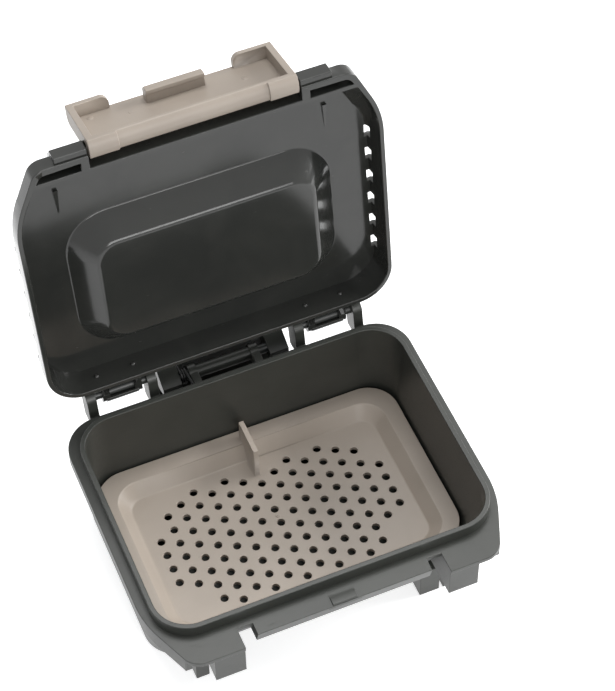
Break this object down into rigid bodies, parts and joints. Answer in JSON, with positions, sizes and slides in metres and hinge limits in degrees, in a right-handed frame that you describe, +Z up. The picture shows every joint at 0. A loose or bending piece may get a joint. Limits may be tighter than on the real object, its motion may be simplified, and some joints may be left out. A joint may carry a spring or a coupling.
{
  "type": "bait and lure box",
  "caption": "Vented bait and lure box with a hinged lid, wide front latch, perforated lift-out tray and a sprung belt clip at the back.",
  "frame": {"origin": "middle of the tub's underside, on the plane it stands on", "axes": "+X to the right along the hinge, +Y towards the hinge, +Z up"},
  "size_m": [0.1072, 0.1238, 0.1323],
  "materials": {
    "shell_plastic": "satin moulded polypropylene, dark green grey",
    "trim_plastic": "satin moulded polypropylene, taupe",
    "pin_steel": "dark drawn wire"
  },
  "bodies": {
    "tub": {"tub": "shell_plastic", "left_hinge_pin": "pin_steel", "right_hinge_pin": "pin_steel", "clip_pin": "pin_steel", "clip_spring": "pin_steel"},
    "lid": {"lid": "shell_plastic"},
    "latch": {"latch": "trim_plastic"},
    "tray": {"tray": "trim_plastic"},
    "belt_clip": {"belt_clip": "shell_plastic"}
  },
  "joints": [
    {"name": "lid_hinge", "type": "hinge", "parent": "tub", "child": "lid", "pos_m": [0, 0.0454, 0.0394], "axis": [1, 0, 0], "range_deg": [0, 98.7]},
    {"name": "latch_pivot", "type": "hinge", "parent": "lid", "child": "latch", "pos_m": [0, 0.05983, 0.12844], "axis": [1, 0, 0], "range_deg": [0, 186]},
    {"name": "tray_lift", "type": "slide", "parent": "tub", "child": "tray", "axis": [0, 0, 1], "range_m": [0, 0.016]},
    {"name": "clip_pivot", "type": "hinge", "parent": "tub", "child": "belt_clip", "pos_m": [0, 0.0463, 0.033], "axis": [1, 0, 0], "range_deg": [0, 15], "stiffness_Nm_per_rad": 0.1, "springref_deg": -14.32}
  ]
}
